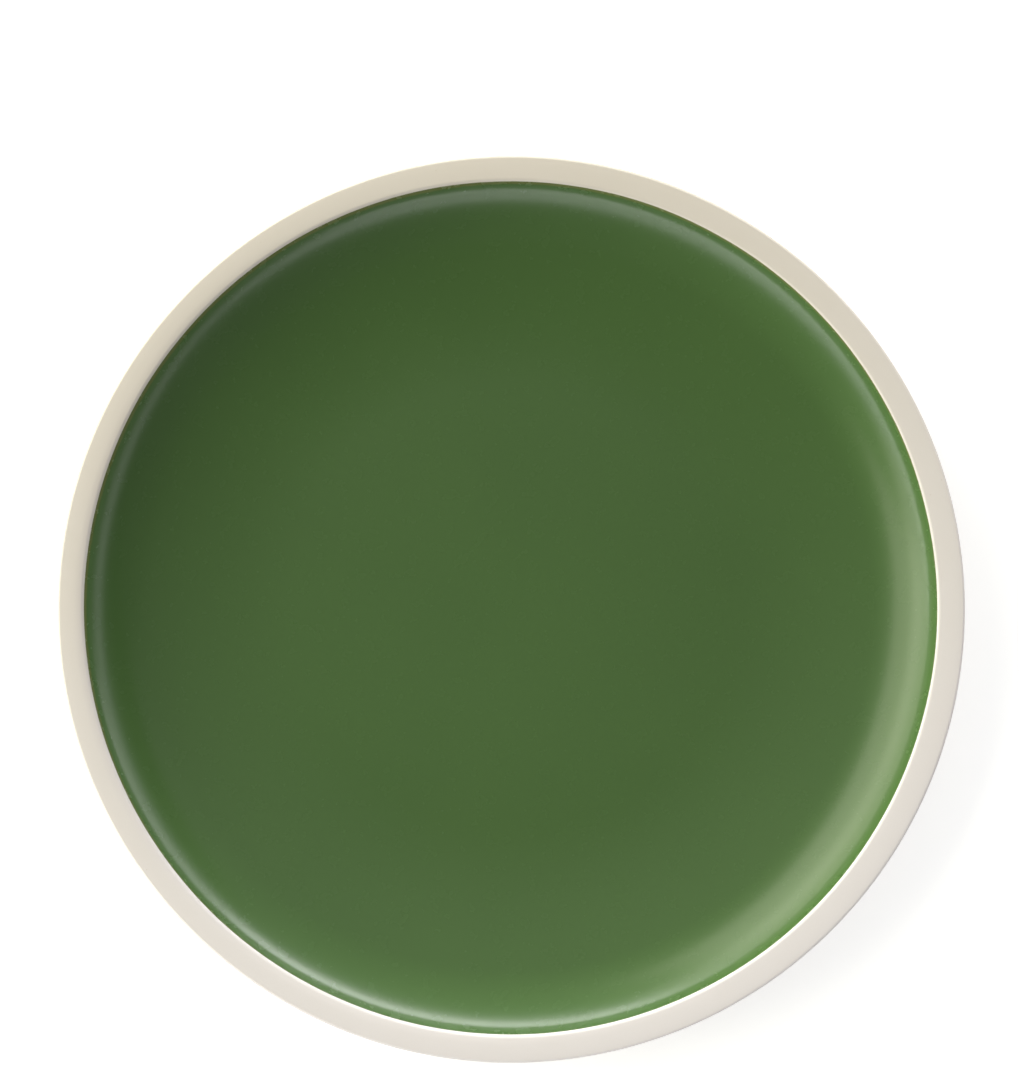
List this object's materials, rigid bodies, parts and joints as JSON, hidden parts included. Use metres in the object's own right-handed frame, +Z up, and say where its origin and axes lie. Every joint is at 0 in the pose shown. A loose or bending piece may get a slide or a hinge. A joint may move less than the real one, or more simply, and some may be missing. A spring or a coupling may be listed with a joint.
{
  "type": "dinner plate",
  "caption": "Round ceramic dinner plate with a gently dished well, a rounded corner, a short steep wall and a narrow flat rim, standing on a low foot ring.",
  "frame": {"origin": "centre of the standing plane, on the plate's axis, at the bottom of the foot ring", "axes": "+Z up along the plate's axis of revolution, out of the well; X and Y lie in the table plane"},
  "size_m": [0.27, 0.27, 0.024],
  "materials": {
    "fired_clay": "matte",
    "green_glaze": "satin",
    "cream_matt_glaze": "matte"
  },
  "bodies": {
    "root": {"ceramic_body": "fired_clay", "interior_glaze": "green_glaze", "rim_exterior_glaze": "cream_matt_glaze", "base_recess_glaze": "cream_matt_glaze"}
  },
  "joints": []
}
